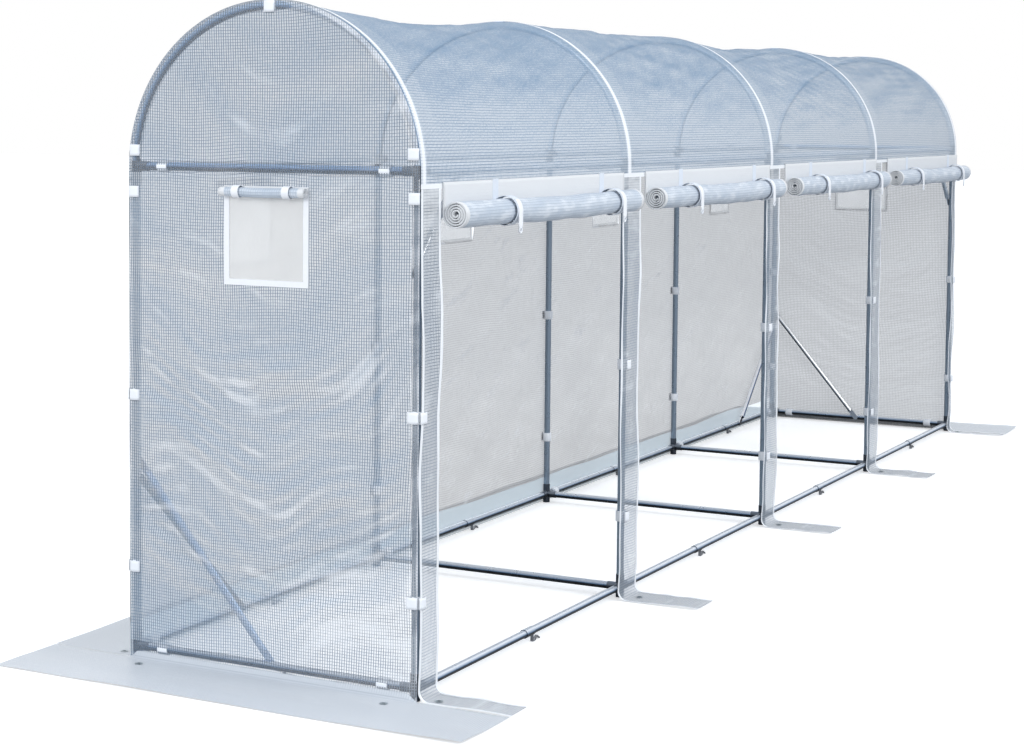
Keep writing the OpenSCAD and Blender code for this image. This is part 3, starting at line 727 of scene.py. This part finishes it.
# %% [markdown]
# ## Ground skirts
# Film lies on the ground round the other three sides. It comes out of the wall's foot in a small
# fillet and then lies nearly flat, with low waves. Each is a height over two coordinates, with
# holes under the eyelets.

# %% Skirts
FILLET = 0.022


def lie(d, along, half, seed):
    """Height of a sheet on the ground at distance d from the wall's foot: a fillet that falls off
    along the wall's half length, and low waves that grow away from the foot."""
    foot = FILLET * np.exp(-d / 0.008) * smooth((half - np.abs(along)) / 0.03)
    wave = 0.0025 * (1 + ripples(0.6 * along, d, 0.35, seed)).clip(0, 3)
    return LIE + foot + wave * smooth((d - 0.10) / 0.12)


def gable_skirt(end):
    """Skirt before a gable: d runs out along X from the foot and y along the gable."""
    reach = skirt_x - film_x
    eyes = [(abs(x) - film_x, y) for x, y, _ in near_eyelets]
    out = np.concatenate([np.linspace(0, 0.03, 10), np.linspace(0.03, reach, 30)[1:]])
    out = with_lines(out, [d + k for d, _ in eyes for k in (-EYELET_HOLE, EYELET_HOLE)])
    along = with_lines(np.linspace(-skirt_y, skirt_y, 121),
                       [y + k for _, y in eyes for k in (-EYELET_HOLE, EYELET_HOLE)])
    d, y = np.meshgrid(out, along, indexing="ij")
    z = lie(d, y, gable_half, 61)
    keep = outside(d, y, [square(a, b) for a, b in eyes])
    return patch(end * (film_x + d), y, z, (y, d), slope_light(z, out, 1.2), keep=keep, flip=end > 0)


def back_skirt_patch():
    """Skirt behind the back wall: d runs out along Y from the foot and x along the wall."""
    reach = skirt_y - film_y
    eyes = [(y - film_y, x) for x, y, _ in back_eyelets]
    out = np.concatenate([np.linspace(0, 0.03, 10), np.linspace(0.03, reach, 30)[1:]])
    out = with_lines(out, [d + k for d, _ in eyes[:1] for k in (-EYELET_HOLE, EYELET_HOLE)])
    side = film_x - EDGE_GAP
    along = with_lines(np.linspace(-side, side, 241),
                       [x + k for _, x in eyes for k in (-EYELET_HOLE, EYELET_HOLE)])
    d, x = np.meshgrid(out, along, indexing="ij")
    z = lie(d, x, film_x, 63)
    keep = outside(d, x, [square(a, b) for a, b in eyes])
    return patch(x, film_y + d, z, (x, d), slope_light(z, out, 1.2), keep=keep)


for end, word in ((-1, "near"), (1, "far")):
    piece = make_piece(f"{word}_skirt_film", [gable_skirt(end)], skirt_film,
                       [f"{word}_gable_skirt"])
back_laid = make_piece("back_skirt_film", [back_skirt_patch()], skirt_film,
                       ["back_skirt"])

# %% [markdown]
# ## Rolled curtains
# Each bay's curtain hangs from the eaves and is rolled up under them. Its section is a spiral, so
# the open end shows its turns. A clean spiral looks like a machined part. So the roll is uneven:
# its radius swells and shrinks along its length between the straps, and it hangs lower between
# the straps. Solidify gives the film an edge that shows at the end.

# %% Curtains
TURNS = 4.5
CORE = 0.006
ROLL_WALL = 0.0045
ROLL_SAG = 0.004


def roll_patch(along, straps, radius, turns, seam, seed, sag):
    """Rolled sheet in its own axes, (along, towards the wall, up) from the roll's axis. It hangs
    straight from the seam to the rim, and then its radius falls evenly with the angle from the
    rim to the core. Between the straps the radius is scaled by ripples and the roll sags."""
    hang = np.linspace(seam, 0, 9)[:-1]
    spin = np.linspace(0, 2 * np.pi * turns, int(30 * turns))
    drop = np.concatenate([hang, 0 * spin])[:, None]
    a, u = np.meshgrid(np.concatenate([0 * hang, spin]), along, indexing="ij")
    base = radius - (radius - CORE) * a / spin[-1]
    free = 1 - np.clip(sum(np.exp(-((u - x) / (0.9 * radius)) ** 2) for x in straps), 0, 1)
    ends = smooth(np.minimum(u - along[0], along[-1] - u) / radius)
    uneven = 1 + free * ends * 0.032 * (ripples(2 * radius * np.cos(a), u, 0.19, seed) - 0.3)
    r = base * np.where(drop > 0, 1, uneven)
    share = np.clip((u - straps[0]) / (straps[-1] - straps[0]), 0, 1)
    level = -sag * 4 * share * (1 - share) * smooth(a / 0.4)
    length = np.concatenate([seam - hang, seam + np.cumsum(base[len(hang):, 0]) * (spin[1] - spin[0])])
    length = length[:, None] + 0 * u
    # Painted light and shade: streaks along the roll between the straps, lighter and darker with the
    # ripples.
    lit = np.clip(0.62 + 0.22 * free * ripples(u, 2.5 * length, 0.10, seed + 3), 0, 1)
    edge = np.where(drop > 0.5 * radius, 0.0, np.minimum(u - along[0], along[-1] - u))
    return u, r * np.cos(a), drop - r * np.sin(a) + level, (u, length), lit, edge


strap_x = []
for i in range(BAYS):
    low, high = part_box(f"curtain_{i + 1}")
    roll_r = (high.y - low.y - FILM) / 2
    roll_y, roll_z = high.y - FILM / 2 - roll_r, low.z + roll_r + FILM / 2
    straps = [low.x + STRAP_START, high.x - STRAP_END]
    strap_x += straps
    u, side, up, cloth, lit, edge = roll_patch(np.linspace(low.x, high.x, 90), straps, roll_r, TURNS,
                                               high.z - roll_z, 71 + i, ROLL_SAG)
    made = patch(u, roll_y + side, roll_z + up, cloth, lit, edge)
    piece = make_piece(f"rolled_curtain_{i + 1}", [made], roll_film, [f"curtain_{i + 1}"],
                       thickness=ROLL_WALL)

# %% [markdown]
# ## Rolled window flaps
# Each window has a flap of film that is rolled up over it and held by two straps. It is the same
# roll as a curtain, only smaller, set out from the wall of its window.

# %% Window flaps
FLAP_STRAP = 0.087
FLAP_TURNS = 2.5
FLAP_WALL = 0.0018
FLAP_SAG = 0.002
flap_low, flap_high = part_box("window_flap_rolls")
flap_out = -flap_low.x - film_x
flap_r = (flap_high.z - flap_low.z - FILM) / 2
flap_z = flap_low.z + FILM / 2 + flap_r
flap_axis = flap_out - FILM / 2 - flap_r
flap_len = hem_high.z - hem_low.z


def flap_patch(middle, along_way, out_way, seed):
    """Rolled flap at a window: the roll's own axes are turned to the wall's directions."""
    along = np.linspace(-flap_len / 2, flap_len / 2, 30)
    u, side, up, cloth, lit, edge = roll_patch(along, [-FLAP_STRAP, FLAP_STRAP], flap_r, FLAP_TURNS,
                                               flap_r, seed, FLAP_SAG)
    out = flap_axis - side
    x = middle[0] + along_way[0] * u + out_way[0] * out
    y = middle[1] + along_way[1] * u + out_way[1] * out
    # The flaps' painted light is lowered by 0.15: a painted shade.
    return patch(x, y, flap_z + up, cloth, lit - 0.15, edge)


flap_places = [((end * film_x, window_mid), (0, end), (end, 0)) for end in (-1, 1)]
flap_places += [((x, film_y), (-1, 0), (0, 1)) for x in back_window_x]
flaps = [flap_patch(*place, 81 + k) for k, place in enumerate(flap_places)]
flap_piece = make_piece("window_flap_film", flaps, roll_film, ["window_flap_rolls"],
                        thickness=FLAP_WALL)

# %% [markdown]
# ## Strap toggles
# Each curtain strap ends in a white tab that comes over the front of the roll and hangs down past
# it, with a ring at its foot to hook it on. A flat rectangle would stand off the roll, so the tab
# is a profile, round and then straight down. The ring is one circle carried round another.

# %% Toggles
TAB_HALF, TAB_DROP, TAB_GAP = 0.014, 0.002, 0.001
RING_R, RING_THICK = 0.008, 0.0028
PLATE_WALL = 0.0016
strap_r = roll_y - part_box("curtain_straps")[0].y
ring_z = roll_z - strap_r - TAB_DROP - RING_R


def tab_patch(x, radius, half, drop):
    """Tab on a roll: its section follows the roll from above the front to the front, then hangs
    straight down past the underside by the drop."""
    bend = np.linspace(-0.8, 0, 9)
    fall = np.linspace(0, radius + drop, 9)[1:]
    out = np.concatenate([radius * np.cos(bend), radius + 0 * fall])
    up = np.concatenate([-radius * np.sin(bend), -fall])
    k, u = np.meshgrid(np.arange(len(out)), np.linspace(-half, half, 5), indexing="ij")
    return patch(x + u, roll_y - out[k], roll_z + up[k], (u, up[k]))


def ring_patch(x, radius, thick, low):
    """Ring at the foot of a tab: a small circle carried round a large one that faces the front."""
    a, b = np.meshgrid(np.linspace(0, 2 * np.pi, 25), np.linspace(0, 2 * np.pi, 13), indexing="ij")
    out = radius + thick * np.cos(b)
    return patch(x + out * np.cos(a), roll_y - strap_r + thick * np.sin(b), low + out * np.sin(a), (a, b))


make_piece("strap_tabs", [tab_patch(x, strap_r + TAB_GAP, TAB_HALF, TAB_DROP) for x in strap_x],
           white_tape, thickness=PLATE_WALL)
make_piece("strap_rings", [ring_patch(x, RING_R, RING_THICK, ring_z) for x in strap_x], clip_plastic)

# %% [markdown]
# ## Clips
# White plastic clips hold the film on the tubes. Each one shows as a collar round the tube inside
# and as a plate on the film outside. A collar is a short tube; a plate is a shallow arch. Both are
# profiles carried along a short straight path, repeated at every place by array arithmetic.

# %% Clips
COLLAR_H = 0.036


def collar(centre, axis, inner=0.0128, outer=0.0180, height=COLLAR_H):
    """Short tube round a point: a rounded rectangle section, from inner to outer radius and over
    the height, turned round the axis."""
    ring = np.linspace(0, 2 * np.pi, 25)
    r = np.array([inner, outer - 0.001, outer, outer, outer - 0.001, inner])
    h = np.array([-1, -1, -0.92, 0.92, 1, 1]) * height / 2
    axis = np.asarray(axis, float) / np.linalg.norm(axis)
    side = np.cross(axis, [0.0, 0.0, 1.0] if abs(axis[2]) < 0.9 else [1.0, 0.0, 0.0])
    side /= np.linalg.norm(side)
    third = np.cross(axis, side)
    turn = np.cos(ring)[None, :, None] * side + np.sin(ring)[None, :, None] * third
    points = np.asarray(centre) + r[:, None, None] * turn + h[:, None, None] * axis
    return patch(points[..., 0], points[..., 1], points[..., 2])


def plate(centre, out, along, width=0.036, height=0.034, rise=0.006):
    """Shallow arch on the film: half an ellipse of the given rise across the width, carried along
    the height."""
    t = np.linspace(-1, 1, 13)
    out, along = np.asarray(out, float), np.asarray(along, float)
    across = np.cross(along, out)
    bulge = rise * np.sqrt(1 - t * t)
    section = t[:, None] * across * width / 2 + bulge[:, None] * out
    h = np.linspace(-1, 1, 5) * height / 2
    points = np.asarray(centre) + section[:, None, :] + h[None, :, None] * along
    return patch(points[..., 0], points[..., 1], points[..., 2])


POST_CLIPS = (0.285, 0.815)
GABLE_CLIPS = (1.435, 1.56)
CLIP_IN = 0.385
RAIL_CLIP = 0.075
PLATE_IN = 0.018
PLATE_LIFT, STRIP_LIFT = 0.001, 0.0042
TOP_PLATE = 0.993
collars, plates = [], []
for x in hoops:
    for side in (-1, 1):
        collars += [collar((x, side * half_w, z), (0, 0, 1)) for z in POST_CLIPS]
    collars.append(collar((x, 0, spring_z + half_w), (0, 1, 0), outer=0.0195))
    plates += [plate((x, -film_y - STRIP_LIFT, z), (0, -1, 0), (0, 0, 1)) for z in POST_CLIPS]
    plates += [plate((x, film_y + PLATE_LIFT, z), (0, 1, 0), (0, 0, 1)) for z in POST_CLIPS]
purlin_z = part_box("front_eaves_purlin")[1].z - tube_r
rail_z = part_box("front_ground_rail")[1].z - tube_r
for end in (-1, 1):
    face = end * (film_x + PLATE_LIFT)
    plates.append(plate((face, 0, spring_z + gable_half - PLATE_IN), (end, 0, 0), (0, 0, 1)))
    for side in (-1, 1):
        collars.append(collar((end * half_l, side * CLIP_IN, purlin_z), (0, 1, 0)))
        collars.append(collar((end * half_l, side * CLIP_IN, rail_z), (0, 1, 0)))
        corner = side * (gable_half - PLATE_IN)
        plates += [plate((face, corner, z), (end, 0, 0), (0, 0, 1)) for z in POST_CLIPS + GABLE_CLIPS[:1]]
        plates.append(plate((face, corner * TOP_PLATE, GABLE_CLIPS[1]), (end, 0, 0), (0, 0, 1)))
for x in hoops[:-1] + bay / 2:
    collars += [collar((x, side * half_w, purlin_z), (1, 0, 0), outer=0.0155) for side in (-1, 1)]
rail_clips = hoops + np.where(hoops < half_l - bay / 2, RAIL_CLIP, -RAIL_CLIP)
collars += [collar((x, half_w, rail_z), (1, 0, 0)) for x in rail_clips]
make_piece("film_clips", collars, clip_plastic)
make_piece("film_clip_plates", plates, clip_plastic, thickness=PLATE_WALL)

# %% [markdown]
# ## Floor, light and camera
# The floor and the background are white. The world is white to the camera and to reflections, and
# gives a soft light to everything else. A large lamp from the front makes the highlights, and a
# weaker one lights the near gable.
# The camera stands where the photographer stood: its place, turn, lens and shift come from
# fitting the hoops' feet and crowns.

# %% World and lamps
scene = bpy.context.scene
scene.view_settings.view_transform = "Standard"
world = bpy.data.worlds.new("studio")
scene.world = world
world.use_nodes = True
sky = world.node_tree
path = node(sky, "ShaderNodeLightPath").outputs
seen = maths(sky, "MAXIMUM", path["Is Camera Ray"],
             maths(sky, "MAXIMUM", path["Is Glossy Ray"], path["Is Transmission Ray"]))
background = sky.nodes["Background"]
put(sky, background.inputs["Color"], blend(sky, seen, colour(0.86, 0.92, 1.0), colour(1, 1, 1)))
put(sky, background.inputs["Strength"], mixed(sky, seen, 0.98, 1.0))


def lamp(name, place, target, size, power):
    """A square soft lamp that looks from one point to another."""
    data = bpy.data.lights.new(name, "AREA")
    data.size = size
    data.energy = power
    made = bpy.data.objects.new(name, data)
    made.location = place
    made.rotation_euler = (Vector(target) - Vector(place)).to_track_quat("-Z", "Y").to_euler()
    scene.collection.objects.link(made)
    return made


lamp("key", (-2.5, -7.0, 6.0), (0, 0, 0.8), 2.0, 245)
lamp("fill", (-9.0, 1.0, 4.0), (-2.5, 0, 1.0), 2.0, 140)

# %% Floor
FLOOR = 60.0
ground, tree, shader = new_finish("white floor")
place = node(tree, "ShaderNodeTexCoord").outputs["Object"]
seen = node(tree, "ShaderNodeLightPath").outputs["Is Camera Ray"]
white = blend(tree, noise(tree, place, 0.4), colour(0.90, 0.90, 0.90), colour(0.93, 0.93, 0.93))
put(tree, shader.inputs["Base Color"], blend(tree, seen, colour(0.50, 0.50, 0.50), white))
put(tree, shader.inputs["Emission Strength"], maths(tree, "MULTIPLY", seen, 0.45))
shader.inputs["Emission Color"].default_value = colour(1, 1, 1)
shader.inputs["Roughness"].default_value = 0.9
a, b = np.meshgrid(np.linspace(-FLOOR, FLOOR, 9), np.linspace(-FLOOR, FLOOR, 9), indexing="ij")
floor_mesh = bpy.data.meshes.new("floor")
floor_mesh.from_pydata(np.stack([a, b, 0 * a - 0.001], -1).reshape(-1, 3).tolist(), [],
                       cells(a.shape, None, False).tolist())
floor_mesh.materials.append(ground)
floor = bpy.data.objects.new("floor", floor_mesh)
scene.collection.objects.link(floor)
floor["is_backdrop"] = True

# %% Camera
PHOTO_W, PHOTO_H = 1024, 756
EYE = Vector((-8.095, -3.263, 1.665))
YAW, PITCH_ANGLE, ROLL = math.radians(28.99), math.radians(-3.68), math.radians(0.33)
FOCAL_PX = 2069.1
CENTRE_PX = (399.9, 249.9)
ahead = Vector((math.cos(YAW) * math.cos(PITCH_ANGLE), math.sin(YAW) * math.cos(PITCH_ANGLE),
                math.sin(PITCH_ANGLE)))
right = ahead.cross(Vector((0, 0, 1))).normalized()
above = right.cross(ahead)
right, above = (right * math.cos(ROLL) + above * math.sin(ROLL),
                above * math.cos(ROLL) - right * math.sin(ROLL))
camera_data = bpy.data.cameras.new("camera")
camera_data.sensor_width = 36.0
camera_data.lens = FOCAL_PX / PHOTO_W * camera_data.sensor_width
camera_data.shift_x = (PHOTO_W / 2 - CENTRE_PX[0]) / PHOTO_W
camera_data.shift_y = (CENTRE_PX[1] - PHOTO_H / 2) / PHOTO_W
camera = bpy.data.objects.new("camera", camera_data)
camera.matrix_world = Matrix.Translation(EYE) @ Matrix((right, above, -ahead)).transposed().to_4x4()
scene.collection.objects.link(camera)
scene.camera = camera
print("lens", round(camera_data.lens, 2), "mm, shift", round(camera_data.shift_x, 4),
      round(camera_data.shift_y, 4))

# %% [markdown]
# ## Size and end
# The box round the visual model's shown pieces, the floor left out, is measured.

# %% Measure the box of the visual model
low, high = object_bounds()
